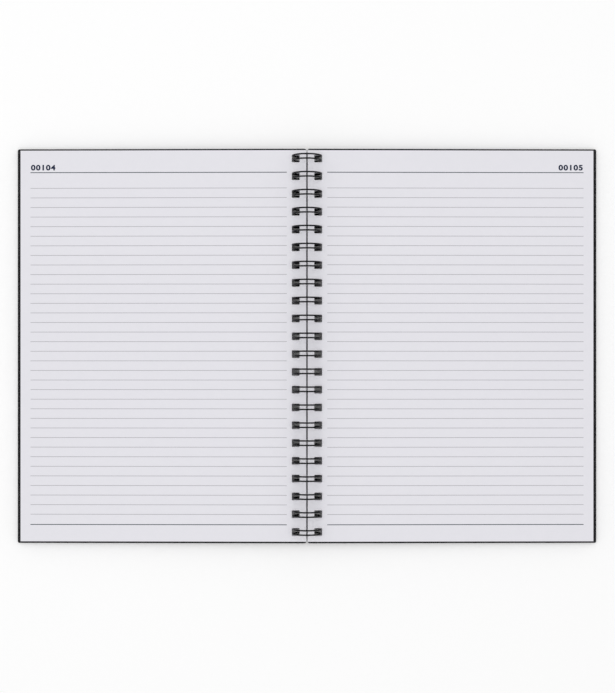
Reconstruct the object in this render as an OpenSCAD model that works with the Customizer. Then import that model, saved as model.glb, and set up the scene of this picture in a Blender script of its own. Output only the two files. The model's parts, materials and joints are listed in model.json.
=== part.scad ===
// Open twin-loop notebook lying face up: two board covers, two blocks of ruled leaves and one wire binding
// Millimetres. +X to the right page's fore-edge, +Y to the head of the pages, +Z up.
// The origin is on the table, under the middle of the binding.

/* [Leaves] */
// Width of a leaf, from its spine edge to its fore-edge
page_width = 204.4; // [120:0.1:260]
// Height of a leaf
page_height = 279.4; // [180:0.1:320]
// Thickness of the leaves on each side
page_stack = 5.3; // [2:0.1:12]
// From the middle plane of the binding to the spine edges
spine_gap = 0.6; // [0.5:0.1:1.2]
// From the loops' centre line down to the top leaf
page_drop = 0.2; // [0.15:0.05:0.5]

/* [Covers] */
// Thickness of a cover board
cover_thickness = 2; // [1:0.1:4]
// How far a cover reaches past the leaves at the fore-edge
cover_fore_overhang = 3.1; // [0:0.1:6]
// How far a cover reaches past the leaves at head and tail
cover_end_overhang = 1.8; // [0:0.1:5]
// Radius of a cover's corners
cover_corner_r = 1.2; // [0.5:0.1:6]
// Radius along the outer fore-edge of a cover
cover_edge_r = 0.5; // [0.2:0.1:0.8]
// From the slots to the middle of the pressed hinge line
hinge_line_gap = 6.2; // [2:0.1:20]
// Width of the pressed hinge line
hinge_line_width = 1.8; // [1:0.1:3]
// Depth of the pressed hinge line
hinge_line_depth = 0.3; // [0.1:0.05:0.6]

/* [Punching] */
// Pitch of the slots along the spine
slot_pitch = 12.7; // [9:0.1:16]
// Height of a slot, along the spine
slot_height = 5.6; // [5.2:0.1:7]
// From the spine edge to a slot
slot_margin = 4.6; // [3.5:0.1:7]
// Least distance from the end of a leaf to the middle of a slot
slot_end_margin = 6; // [4.5:0.1:10]
// How far the row of slots lies above the middle of the leaves
punch_shift = 0.5; // [0:0.1:2]
// Radius of a slot's corners
slot_corner_r = 0.6; // [0.2:0.1:1.2]

/* [Wire] */
// Diameter of the wire
wire_d = 1.1; // [0.8:0.05:1.2]
// Free space between a loop and the edges of the slots and boards
loop_clearance = 0.32; // [0.2:0.02:1]
// Distance between the two wires of a loop
loop_spacing = 3.15; // [2.6:0.05:3.8]
// How far the wire lies above the middle of the slots
wire_shift = 0.4; // [0:0.05:0.5]
// Radius of the bend from the seam wire into a loop
seam_bend_r = 1.2; // [0.8:0.1:1.6]
// Gap between a loop's tip and the seam wire
tip_gap = 0.3; // [0.1:0.1:1]
// How much thinner the wire is drawn at its tight bends
bend_draw = 0.04; // [0.04:0.01:0.1]
// Straight wire past the bends of the first and last loops
seam_end = 1.5; // [0.5:0.1:3]

/* [Print] */
// Pitch of the rules
rule_pitch = 6.858; // [5:0.001:10]
// Thickness of a rule
rule_line = 0.3; // [0.2:0.05:0.6]
// Thickness of the head and foot rules
end_rule_line = 0.5; // [0.2:0.05:1]
// Height of the ink above the paper
ink_height = 0.05; // [0.02:0.01:0.08]
// From the head of the leaf down to the head rule
head_margin = 15.7; // [10:0.1:25]
// From the head rule down to the first rule
first_rule_drop = 11.2; // [6:0.1:15]
// From the tail of the leaf up to the foot rule
foot_margin = 12; // [8:0.1:25]
// Least distance from the last rule to the foot rule
last_rule_gap = 6; // [4:0.1:9]
// From the slots to the inner ends of the rules
rule_inner_margin = 3.6; // [1:0.1:20]
// From the fore-edge to the outer ends of the rules
rule_outer_margin = 7.1; // [3:0.1:20]

/* [Hidden] */
// Smoothness of the round surfaces
$fn = 48;
// How far a cutting shape runs past the face it cuts
over = 1;
// How far a bend is drawn on into the wire at its ends, in degrees
bend_root = 8;
wire_r = wire_d / 2;
page_low = page_drop + page_stack;
cover_low = page_low + cover_thickness;
slot_near = spine_gap + slot_margin;
// Radius of a loop, to the middle of the wire, so that it passes under the strip of board beside the slots
loop_r = norm([slot_near, cover_low]) + loop_clearance + wire_r;
slot_far = loop_r + wire_r + loop_clearance;
// Height of the loops' centre line, with the seam wire standing on the table
seam_r = norm([seam_bend_r, loop_r]);
axis_z = seam_r + wire_r;
cover_width = page_width + cover_fore_overhang;
cover_height = page_height + 2 * cover_end_overhang;
cover_reach = spine_gap + cover_width;
// Slope of a half, from the loops that lift its spine edge down to its fore-edge on the table
lie = atan2(cover_reach, cover_low) - acos(axis_z / norm([cover_reach, cover_low]));
slot_count = 1 + floor((page_height - 2 * slot_end_margin) / slot_pitch);
slot_ys = [for (i = [0 : slot_count - 1]) (i - (slot_count - 1) / 2) * slot_pitch + punch_shift];
loop_ys = [for (y = slot_ys) y + wire_shift];
hinge_x = slot_far + hinge_line_gap;
// The hinge line is pressed by a round bar
hinge_line_r = (pow(hinge_line_width / 2, 2) + pow(hinge_line_depth, 2)) / (2 * hinge_line_depth);
head_rule_y = page_height / 2 - head_margin;
foot_rule_y = -page_height / 2 + foot_margin;
first_rule_y = head_rule_y - first_rule_drop;
rule_count = 1 + floor((first_rule_y - foot_rule_y - last_rule_gap) / rule_pitch);
rule_ys = [for (i = [0 : rule_count - 1]) first_rule_y - i * rule_pitch];
rule_x = slot_far + rule_inner_margin;
rule_length = spine_gap + page_width - rule_outer_margin - rule_x;
// The tip is a half turn between the two wires, in the plane that touches the loop at tip_angle from the seam
tip_r = loop_spacing / 2;
seam_start = tip_r + seam_bend_r;
tip_reach = tip_r + wire_r;
tip_stop = seam_bend_r + wire_r + tip_gap;
tip_angle = atan2(tip_reach, loop_r) + asin(tip_stop / norm([loop_r, tip_reach]));
// Turns the wire until its seam lies under the gap between the two halves
seam_turn = -atan2(seam_bend_r, loop_r);

// Square with round corners, centred
module rounded_rect(width, height, r) {
    square([width - 2 * r, height], center = true);
    square([width, height - 2 * r], center = true);
    for (x = [-1, 1], y = [-1, 1])
        translate([x * (width / 2 - r), y * (height / 2 - r)])
            circle(r);
}

// Slots along the spine edge of the right-hand half
module slots() {
    for (y = slot_ys)
        translate([(slot_near + slot_far) / 2, y])
            rounded_rect(slot_far - slot_near, slot_height, slot_corner_r);
}

// Places a right-hand shape, drawn from the loops' centre line, as it lies on the table
module right_half() {
    translate([0, 0, axis_z])
        rotate([0, lie, 0])
            children();
}

// The same shape on the left
module left_half() {
    mirror([1, 0, 0])
        right_half()
            children();
}

// Section of a cover board, with a soft lower fore-edge and the pressed hinge line in its outer face
module cover_section() {
    difference() {
        union() {
            translate([spine_gap, -cover_low + cover_edge_r])
                square([cover_width, cover_thickness - cover_edge_r]);
            translate([spine_gap, -cover_low])
                square([cover_width - cover_edge_r, cover_thickness]);
            translate([cover_reach - cover_edge_r, -cover_low + cover_edge_r])
                circle(cover_edge_r);
        }
        translate([hinge_x, -cover_low + hinge_line_depth - hinge_line_r])
            circle(hinge_line_r);
    }
}

module cover_board() {
    intersection() {
        rotate([90, 0, 0])
            linear_extrude(cover_height, center = true)
                cover_section();
        translate([0, 0, -cover_low - over])
            linear_extrude(cover_thickness + 2 * over)
                difference() {
                    translate([spine_gap + cover_width / 2, 0])
                        rounded_rect(cover_width, cover_height, cover_corner_r);
                    slots();
                }
    }
}

module page_block() {
    translate([0, 0, -page_low])
        linear_extrude(page_stack)
            difference() {
                translate([spine_gap, -page_height / 2])
                    square([page_width, page_height]);
                slots();
            }
}

// Printed lines of that thickness across the top leaf, at the given heights on the page
module printed_lines(ys, line) {
    for (y = ys)
        translate([rule_x, y - line / 2, -page_drop])
            cube([rule_length, line, ink_height]);
}

// Wires of all loops: from the seam at the bottom up the right, over and down the left to the tips
// Their heights are negative in the sketch, because standing it up turns them over.
module loop_wires() {
    rotate([90, 0, 0])
        rotate([0, 0, -90])
            rotate_extrude(angle = 360 - tip_angle)
                for (y = loop_ys, side = [-1, 1])
                    translate([loop_r, side * tip_r - y])
                        circle(wire_r);
}

// Tight bend in the wire, drawn down a trifle and rooted in the wire at both ends
module tight_bend(r, turn) {
    rotate([0, 0, -bend_root])
        rotate_extrude(angle = turn + 2 * bend_root)
            translate([r, 0])
                circle(wire_r - bend_draw);
}

// Half turn that joins the two wires of a loop
module loop_tip() {
    rotate([0, tip_angle, 0])
        translate([0, 0, -loop_r])
            rotate([0, 0, -90])
                tight_bend(tip_r, 180);
}

// Quarter turn from the seam wire into the upper wire of a loop
module seam_bend() {
    translate([0, seam_start, -loop_r])
        rotate([0, 0, 180])
            tight_bend(seam_bend_r, 90);
}

// Straight wire along the seam, between two heights on the page
module seam_wire(low, high) {
    translate([-seam_bend_r, low, -loop_r])
        rotate([-90, 0, 0])
            cylinder(r = wire_r, h = high - low);
}

module back_cover() {
    color([0.07, 0.07, 0.08]) right_half() cover_board();
}

module front_cover() {
    color([0.07, 0.07, 0.08]) left_half() cover_board();
}

module right_pages() {
    color([0.89, 0.89, 0.91]) right_half() page_block();
}

module left_pages() {
    color([0.89, 0.89, 0.91]) left_half() page_block();
}

module wire_binding() {
    tail_end = loop_ys[0] - seam_start;
    head_end = loop_ys[slot_count - 1] + seam_start;
    color([0.05, 0.05, 0.06])
        translate([0, 0, axis_z])
            rotate([0, seam_turn, 0]) {
                loop_wires();
                for (y = loop_ys)
                    translate([0, y, 0])
                        loop_tip();
                for (y = loop_ys)
                    translate([0, y, 0])
                        seam_bend();
                for (y = loop_ys)
                    translate([0, y, 0])
                        mirror([0, 1, 0])
                            seam_bend();
                for (i = [0 : slot_count - 2])
                    seam_wire(loop_ys[i] + seam_start, loop_ys[i + 1] - seam_start);
                seam_wire(tail_end - seam_end, tail_end);
                seam_wire(head_end, head_end + seam_end);
            }
}

module right_rules() {
    color([0.65, 0.65, 0.68]) right_half() printed_lines(rule_ys, rule_line);
}

module left_rules() {
    color([0.65, 0.65, 0.68]) left_half() printed_lines(rule_ys, rule_line);
}

module right_end_rules() {
    color([0.16, 0.2, 0.22]) right_half() printed_lines([head_rule_y, foot_rule_y], end_rule_line);
}

module left_end_rules() {
    color([0.16, 0.2, 0.22]) left_half() printed_lines([head_rule_y, foot_rule_y], end_rule_line);
}

back_cover();
front_cover();
right_pages();
left_pages();
wire_binding();
right_rules();
left_rules();
right_end_rules();
left_end_rules();
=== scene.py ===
import json
import math
import random

import bmesh
import bpy
from mathutils import Matrix, Vector


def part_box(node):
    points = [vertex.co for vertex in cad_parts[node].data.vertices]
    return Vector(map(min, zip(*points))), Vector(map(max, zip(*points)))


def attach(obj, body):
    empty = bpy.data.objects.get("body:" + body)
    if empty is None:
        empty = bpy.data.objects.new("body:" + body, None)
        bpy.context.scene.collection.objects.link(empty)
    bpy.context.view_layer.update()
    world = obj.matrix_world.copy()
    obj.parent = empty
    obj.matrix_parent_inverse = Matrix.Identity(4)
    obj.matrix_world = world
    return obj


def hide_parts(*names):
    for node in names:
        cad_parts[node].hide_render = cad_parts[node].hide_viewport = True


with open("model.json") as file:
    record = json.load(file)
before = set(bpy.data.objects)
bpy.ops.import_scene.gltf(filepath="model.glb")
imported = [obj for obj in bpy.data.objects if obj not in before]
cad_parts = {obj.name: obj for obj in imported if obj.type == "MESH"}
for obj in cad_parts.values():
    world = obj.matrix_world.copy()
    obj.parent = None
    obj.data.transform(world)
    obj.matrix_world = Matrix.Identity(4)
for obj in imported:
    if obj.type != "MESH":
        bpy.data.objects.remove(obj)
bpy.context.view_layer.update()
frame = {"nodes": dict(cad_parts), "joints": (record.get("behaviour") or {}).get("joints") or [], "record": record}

# Cover boards
# Two boards of grey pasteboard, wrapped in black book covering with a fine leather grain and pressed
# with a hinge line. They come from the frame, and only get their finish here.


class Shade:
    """A shader socket that takes part in plain expressions."""

    def __init__(self, tree, socket=None):
        self.tree = tree
        self.socket = socket

    def node(self, kind, settings=None, sockets=None, out=0):
        made = self.tree.nodes.new("ShaderNode" + kind)
        for name, value in (settings or {}).items():
            setattr(made, name, value)
        for name, value in (sockets or {}).items():
            if isinstance(value, Shade):
                self.tree.links.new(value.socket, made.inputs[name])
            else:
                made.inputs[name].default_value = value
        return Shade(self.tree, made.outputs[out])

    def maths(self, operation, *values):
        return self.node("Math", {"operation": operation}, dict(enumerate(values)))

    def __add__(self, other):
        return self.maths("ADD", self, other)

    def __sub__(self, other):
        return self.maths("SUBTRACT", self, other)

    def __rsub__(self, other):
        return self.maths("SUBTRACT", other, self)

    def __mul__(self, other):
        return self.maths("MULTIPLY", self, other)

    __radd__ = __add__
    __rmul__ = __mul__

    def above(self, low, high):
        """0 under low, 1 over high, smooth between."""
        return self.node(
            "MapRange",
            {"interpolation_type": "SMOOTHSTEP"},
            {"Value": self, "From Min": low, "From Max": high},
        )

    def tint(self, low, high):
        """Colour low where this is 0 and high where it is 1, through the node's sockets for colours."""
        return self.node("Mix", {"data_type": "RGBA"}, {0: self, 6: (*low, 1), 7: (*high, 1)}, out=2)

    def place(self):
        """Place on the piece, in metres."""
        return self.node("TexCoord", out="Object")

    def noise(self, size, detail=2.0, roughness=0.5, stretch=(1, 1, 1)):
        """Noise from 0 to 1 with features of about that size in metres, longer along a small stretch."""
        place = self.node("Mapping", {}, {"Vector": self.place(), "Scale": stretch})
        sockets = {"Vector": place, "Scale": 1 / size, "Detail": detail, "Roughness": roughness}
        return self.node("TexNoise", {}, sockets)

    def relief(self, depth, strength=1.0, over=None):
        """A bump of that depth in metres, laid over another bump."""
        sockets = {"Height": self, "Distance": depth, "Strength": strength}
        if over is not None:
            sockets["Normal"] = over
        return self.node("Bump", {}, sockets)


def finish_of(name, **constants):
    """A new material, its first Shade, and a function that sets what changes over the surface."""
    material = bpy.data.materials.new(name)
    material.use_nodes = True
    tree = material.node_tree
    shader = tree.nodes["Principled BSDF"]
    for socket, value in constants.items():
        shader.inputs[socket.replace("_", " ")].default_value = value

    def surface(**parts):
        for socket, value in parts.items():
            tree.links.new(value.socket, shader.inputs[socket.replace("_", " ")])

    return material, Shade(tree), surface


covering, s, surface = finish_of("black_book_covering", Specular_IOR_Level=0.16)
pebbles = s.node("TexVoronoi", {"feature": "SMOOTH_F1"}, {"Vector": s.place(), "Scale": 1 / 0.0016})
creases = s.noise(0.004, detail=5.0, roughness=0.6)
rubbing = s.noise(0.03, detail=3.0)
worn = (1 - pebbles * 1.6).above(0.0, 0.7)
surface(
    Base_Color=(worn * 0.7 + creases * 0.3).tint((0.001, 0.001, 0.002), (0.018, 0.018, 0.020)),
    Roughness=0.60 - worn * 0.18 + rubbing * 0.08,
    Normal=worn.relief(0.00025, 0.9, over=creases.relief(0.0003, 0.5)),
)
for name in ("back_cover", "front_cover"):
    frame["nodes"][name].data.materials[0] = covering

# Leaves
# About fifty leaves of cool white writing paper lie on each cover, punched along the spine edge with
# one slot for each loop. They are knocked up square, but never quite, so the edges show fine steps.
axis_z = frame["joints"][0]["pos_m"][2]
board_normal = Vector(frame["record"]["mounts"][0]["axis"])
lie = math.atan2(-board_normal.x, -board_normal.z)
spine_gap = 0.0006
page_drop = 0.0002
page_stack = 0.0053
leaf_count = 53
leaf_pitch = page_stack / leaf_count
leaf_fill = 0.86
leaf_thick = leaf_pitch * leaf_fill
page_low, page_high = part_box("right_pages")
page_height = page_high.y - page_low.y
page_width = (page_high.x + page_drop * math.sin(lie)) / math.cos(lie) - spine_gap
slot_pitch = 0.0127
slot_count = 22
punch_shift = 0.0005
slot_ys = [(i - (slot_count - 1) / 2) * slot_pitch + punch_shift for i in range(slot_count)]
slot_near = 0.0052
slot_far = 0.0108663
slot_height = 0.0056
slot_corner = 0.0006
spine_slip = 0.00012
fore_slip = 0.00006
end_slip = 0.00015
right_turn = Matrix.Translation((0, 0, axis_z)) @ Matrix.Rotation(lie, 4, "Y")
half_turns = {"right": right_turn, "left": Matrix.Scale(-1, 4, (1, 0, 0)) @ right_turn}


def piece_from(bm, name, material, body):
    """Closes a bmesh into a named piece of that body."""
    bmesh.ops.recalc_face_normals(bm, faces=bm.faces)
    mesh = bpy.data.meshes.new(name)
    bm.to_mesh(mesh)
    bm.free()
    mesh.materials.append(material)
    piece = bpy.data.objects.new(name, mesh)
    bpy.context.scene.collection.objects.link(piece)
    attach(piece, body)
    return piece


def punched_leaf(bm):
    """One flat leaf at height 0, reaching from its spine edge towards +X, with its row of slots."""
    bmesh.ops.create_grid(bm, x_segments=1, y_segments=1, size=0.5)
    bmesh.ops.scale(bm, vec=(page_width, page_height, 1), verts=bm.verts)
    bmesh.ops.translate(bm, vec=(spine_gap + page_width / 2, 0, 0), verts=bm.verts)
    cuts = [((x, 0, 0), (1, 0, 0)) for x in (slot_near, slot_far)]
    cuts += [((0, y + side * slot_height / 2, 0), (0, 1, 0)) for y in slot_ys for side in (-1, 1)]
    for place, normal in cuts:
        whole = bm.verts[:] + bm.edges[:] + bm.faces[:]
        bmesh.ops.bisect_plane(bm, geom=whole, plane_co=place, plane_no=normal)
    punched = []
    for face in bm.faces:
        middle = face.calc_center_median()
        in_row = slot_near < middle.x < slot_far
        if in_row and any(abs(middle.y - y) < slot_height / 2 for y in slot_ys):
            punched.append(face)
    corners = [v for face in punched for v in face.verts]
    bmesh.ops.delete(bm, geom=punched, context="FACES_ONLY")
    bmesh.ops.bevel(
        bm, geom=corners, offset=slot_corner, offset_type="OFFSET", affect="VERTICES", segments=2,
        profile=0.5, material=-1,
    )
    rise = bmesh.ops.extrude_face_region(bm, geom=bm.faces[:])
    up = [v for v in rise["geom"] if isinstance(v, bmesh.types.BMVert)]
    bmesh.ops.translate(bm, vec=(0, 0, leaf_thick), verts=up)


paper, s, surface = finish_of("writing_paper", Specular_IOR_Level=0.25)
cloud = s.noise(0.006, detail=6.0, roughness=0.65)
fibre = s.noise(0.0007, detail=4.0, roughness=0.7, stretch=(1, 0.35, 1))
cockle = s.noise(0.05, detail=1.0)
surface(
    Base_Color=(cloud * 0.6 + fibre * 0.4).tint((0.745, 0.74, 0.785), (0.795, 0.785, 0.83)),
    Roughness=0.82 + fibre * 0.12,
    Normal=fibre.relief(0.00003, 0.5, over=cockle.relief(0.0009, 0.25)),
)

for side, turn in half_turns.items():
    bm = bmesh.new()
    punched_leaf(bm)
    first = bm.verts[:] + bm.edges[:] + bm.faces[:]
    top = -page_drop - leaf_thick
    bmesh.ops.translate(bm, vec=(0, 0, top), verts=bm.verts)
    dice = random.Random(side)
    for n in range(1, leaf_count):
        copy = bmesh.ops.duplicate(bm, geom=first)["geom"]
        verts = [v for v in copy if isinstance(v, bmesh.types.BMVert)]
        across = dice.uniform(-spine_slip, fore_slip)
        along = dice.uniform(-end_slip, end_slip)
        bmesh.ops.translate(bm, vec=(across, along, -n * leaf_pitch), verts=verts)
    bmesh.ops.transform(bm, matrix=turn, verts=bm.verts)
    leaves = piece_from(bm, side + "_leaves", paper, side + "_pages")
    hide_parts(side + "_pages")

# Printed lines
# Thirty-five pale grey rules and a darker rule at head and foot are printed on each page. They come
# from the frame as thin strips of ink, which sink into the paper unevenly. The same rules are printed
# on the back of the last leaf of each side, which shows when the leaves are turned.
back_ink_height = 0.00001
back_drop = (leaf_count - 1) * leaf_pitch + leaf_thick + back_ink_height
same_place = 1e-7
for name, dark, pale, nodes in (
    ("rule_ink", (0.32, 0.315, 0.335), (0.39, 0.385, 0.41), ("left_rules", "right_rules")),
    (
        "end_rule_ink", (0.010, 0.026, 0.036), (0.026, 0.050, 0.064),
        ("left_end_rules", "right_end_rules"),
    ),
):
    ink, s, surface = finish_of(name, Specular_IOR_Level=0.2)
    soak = s.noise(0.0006, detail=3.0)
    surface(Base_Color=soak.tint(dark, pale), Roughness=0.7 + soak * 0.2)
    for node in nodes:
        frame["nodes"][node].data.materials[0] = ink
        side = node.split("_")[0]
        down = half_turns[side].to_3x3() @ Vector((0, 0, -back_drop))
        bm = bmesh.new()
        bm.from_mesh(frame["nodes"][node].data)
        bmesh.ops.remove_doubles(bm, verts=bm.verts, dist=same_place)
        bmesh.ops.translate(bm, vec=down, verts=bm.verts)
        piece_from(bm, node.replace(side, side + "_back"), ink, side + "_pages")

# Page numbers
# A plain number is printed in dark blue at the outer top corner of each page, in the space over the
# head rule.
number_size = 0.0052
number_x = 0.1975
number_y = 0.1258
number_weight = 0.0002
number_stretch = 1.2
number_spacing = 1.15
ink_half = 0.00002
navy, s, surface = finish_of("navy_ink", Specular_IOR_Level=0.2)
soak = s.noise(0.0005, detail=3.0)
surface(Base_Color=soak.tint((0.002, 0.007, 0.030), (0.006, 0.016, 0.055)), Roughness=0.7 + soak * 0.2)
for side, digits, sign in (("left", "00104", -1), ("right", "00105", 1)):
    line = bpy.data.curves.new(side + "_number", "FONT")
    line.body = digits
    line.size = number_size
    line.space_character = number_spacing
    line.align_x = "LEFT" if sign < 0 else "RIGHT"
    line.offset = number_weight
    line.extrude = ink_half
    writing = bpy.data.objects.new(side + "_number_line", line)
    bpy.context.scene.collection.objects.link(writing)
    bpy.context.view_layer.update()
    shape = bpy.data.meshes.new_from_object(writing.evaluated_get(bpy.context.evaluated_depsgraph_get()))
    bpy.data.objects.remove(writing)
    bm = bmesh.new()
    bm.from_mesh(shape)
    bmesh.ops.remove_doubles(bm, verts=bm.verts, dist=same_place)
    bmesh.ops.scale(bm, vec=(number_stretch, 1, 1), verts=bm.verts)
    bmesh.ops.translate(bm, vec=(sign * number_x, number_y, ink_half - page_drop), verts=bm.verts)
    slope = Matrix.Translation((0, 0, axis_z)) @ Matrix.Rotation(sign * lie, 4, "Y")
    bmesh.ops.transform(bm, matrix=slope, verts=bm.verts)
    piece_from(bm, side + "_page_number", navy, side + "_pages")

# Wire binding
# One length of steel wire in a black nylon coat is bent into twin loops, threaded through the slots
# and pressed round until each loop's tip meets the seam, which lies under the gap.
wire_r = 0.00055
bend_r = 0.0012
loop_r = math.sqrt((axis_z - wire_r) ** 2 - bend_r ** 2)
loop_half = 0.001575
wire_shift = 0.0004
seam_end = 0.0015
tip_gap = 0.0003
ring_sides = 12
bend_steps = 6
loop_steps = 56
tip_steps = 14
tip_reach = loop_half + wire_r
tip_turn = math.atan2(tip_reach, loop_r)
tip_turn += math.asin((bend_r + wire_r + tip_gap) / math.hypot(loop_r, tip_reach))
tip_out = Vector((-math.sin(tip_turn), 0, -math.cos(tip_turn)))


def straight(bm, ring, reach):
    """Draws the wire's end ring on along the seam, and gives the new end ring."""
    grown = bmesh.ops.extrude_edge_only(bm, edges=ring)["geom"]
    verts = [g for g in grown if isinstance(g, bmesh.types.BMVert)]
    bmesh.ops.translate(bm, vec=(0, reach, 0), verts=verts)
    return [g for g in grown if isinstance(g, bmesh.types.BMEdge) and all(v in verts for v in g.verts)]


def bent(bm, ring, centre, axis, angle, steps):
    """Bends the wire's end ring round an axis, and gives the new end ring."""
    spun = bmesh.ops.spin(
        bm, geom=ring, cent=centre, axis=axis, angle=angle, steps=steps, use_merge=False,
        use_normal_flip=False, use_duplicate=False, dvec=(0, 0, 0),
    )
    return [g for g in spun["geom_last"] if isinstance(g, bmesh.types.BMEdge)]


bm = bmesh.new()
bmesh.ops.create_circle(bm, segments=ring_sides, radius=wire_r, cap_ends=False)
bmesh.ops.rotate(bm, cent=(0, 0, 0), matrix=Matrix.Rotation(math.pi / 2, 3, "X"), verts=bm.verts)
bmesh.ops.translate(bm, vec=(-bend_r, -loop_half - bend_r, -loop_r), verts=bm.verts)
seam_reach = slot_pitch - 2 * (loop_half + bend_r)
ring = bent(bm, bm.edges[:], (0, -loop_half - bend_r, -loop_r), (0, 0, -1), math.pi / 2, bend_steps)
ring = bent(bm, ring, (0, -loop_half, 0), (0, -1, 0), math.tau - tip_turn, loop_steps)
ring = bent(bm, ring, tip_out * loop_r, -tip_out, math.pi, tip_steps)
ring = bent(bm, ring, (0, loop_half, 0), (0, 1, 0), math.tau - tip_turn, loop_steps)
ring = bent(bm, ring, (0, loop_half + bend_r, -loop_r), (0, 0, -1), math.pi / 2, bend_steps)
straight(bm, ring, seam_reach)
bmesh.ops.translate(bm, vec=(0, slot_ys[0] + wire_shift, 0), verts=bm.verts)
loop = bm.verts[:] + bm.edges[:] + bm.faces[:]
for n in range(1, slot_count):
    copy = bmesh.ops.duplicate(bm, geom=loop)["geom"]
    verts = [g for g in copy if isinstance(g, bmesh.types.BMVert)]
    bmesh.ops.translate(bm, vec=(0, n * slot_pitch, 0), verts=verts)
bmesh.ops.remove_doubles(bm, verts=bm.verts, dist=same_place)
open_edges = [e for e in bm.edges if e.is_boundary]
tail = [e for e in open_edges if e.verts[0].co.y < 0]
head = [v for v in bm.verts if v.is_boundary and v.co.y > 0]
straight(bm, tail, -seam_end)
bmesh.ops.translate(bm, vec=(0, seam_end - seam_reach, 0), verts=head)
bmesh.ops.holes_fill(bm, edges=[e for e in bm.edges if e.is_boundary], sides=ring_sides)
roll = Matrix.Translation((0, 0, axis_z)) @ Matrix.Rotation(-math.atan2(bend_r, loop_r), 4, "Y")
bmesh.ops.transform(bm, matrix=roll, verts=bm.verts)
for face in bm.faces:
    face.smooth = len(face.verts) < ring_sides

coat, s, surface = finish_of("black_nylon_coat", Specular_IOR_Level=0.13)
dimples = s.noise(0.0009, detail=3.0)
scuffs = s.noise(0.006, detail=5.0, roughness=0.7).above(0.58, 0.75)
surface(
    Base_Color=scuffs.tint((0.003, 0.003, 0.004), (0.012, 0.012, 0.014)),
    Roughness=0.30 + dimples * 0.1 + scuffs * 0.2,
    Normal=dimples.relief(0.00003, 0.4),
)
wire = piece_from(bm, "wire_loops", coat, "wire_binding")
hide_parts("wire_binding")

# Table, light and camera
# A plain pale table under an even sky, with a broad soft light from the head of the left page. The
# camera looks straight down from a little towards the tail of the binding, and a small lens shift
# brings the book back to the middle of the picture.
photo_height = 693
pixel = 0.0007146
camera_height = 1.08
camera_x = 0.00036
camera_y = -0.018
page_level = 0.009
middle_y = -0.0004
table_half = 6.0
table_white = 0.985
sky_on_objects = 0.76
sky_in_view = 1.0
softbox_place = Vector((-0.25, 0.25, 2.1))
softbox_watts = 13.5

bm = bmesh.new()
bmesh.ops.create_grid(bm, x_segments=1, y_segments=1, size=table_half)
mesh = bpy.data.meshes.new("table")
bm.to_mesh(mesh)
bm.free()
table = bpy.data.objects.new("table", mesh)
bpy.context.scene.collection.objects.link(table)
table_grey = (table_white, table_white, table_white, 1)
table_top = finish_of("pale_table", Base_Color=table_grey, Roughness=0.9, Specular_IOR_Level=0.1)[0]
mesh.materials.append(table_top)

world = bpy.data.worlds.new("studio")
world.use_nodes = True
bpy.context.scene.world = world
sky = Shade(world.node_tree)
seen = sky.node("LightPath", out="Is Camera Ray") + sky.node("LightPath", out="Is Glossy Ray")
seen = seen + sky.node("LightPath", out="Is Transmission Ray")
room = sky.node("Background", {}, {"Color": (1, 1, 1, 1), "Strength": sky_on_objects})
white = sky.node("Background", {}, {"Color": (1, 1, 1, 1), "Strength": sky_in_view})
both = sky.node("MixShader", {}, {0: seen, 1: room, 2: white})
world.node_tree.links.new(both.socket, world.node_tree.nodes["World Output"].inputs["Surface"])

softbox = bpy.data.lights.new("softbox", "AREA")
softbox.shape = "RECTANGLE"
softbox.size = 2.0
softbox.size_y = 1.6
softbox.energy = softbox_watts
lamp = bpy.data.objects.new("softbox", softbox)
lamp.location = softbox_place
lamp.rotation_euler = (-softbox_place).to_track_quat("-Z", "Y").to_euler()
bpy.context.scene.collection.objects.link(lamp)

view = bpy.data.cameras.new("above")
view.sensor_width = 36.0
view.lens = view.sensor_width * (camera_height - page_level) / (photo_height * pixel)
view.shift_y = (middle_y - camera_y) / (photo_height * pixel)
view.clip_start = 0.01
camera = bpy.data.objects.new("above", view)
camera.location = (camera_x, camera_y, camera_height)
bpy.context.scene.collection.objects.link(camera)
bpy.context.scene.camera = camera
bpy.context.scene.view_settings.view_transform = "Standard"
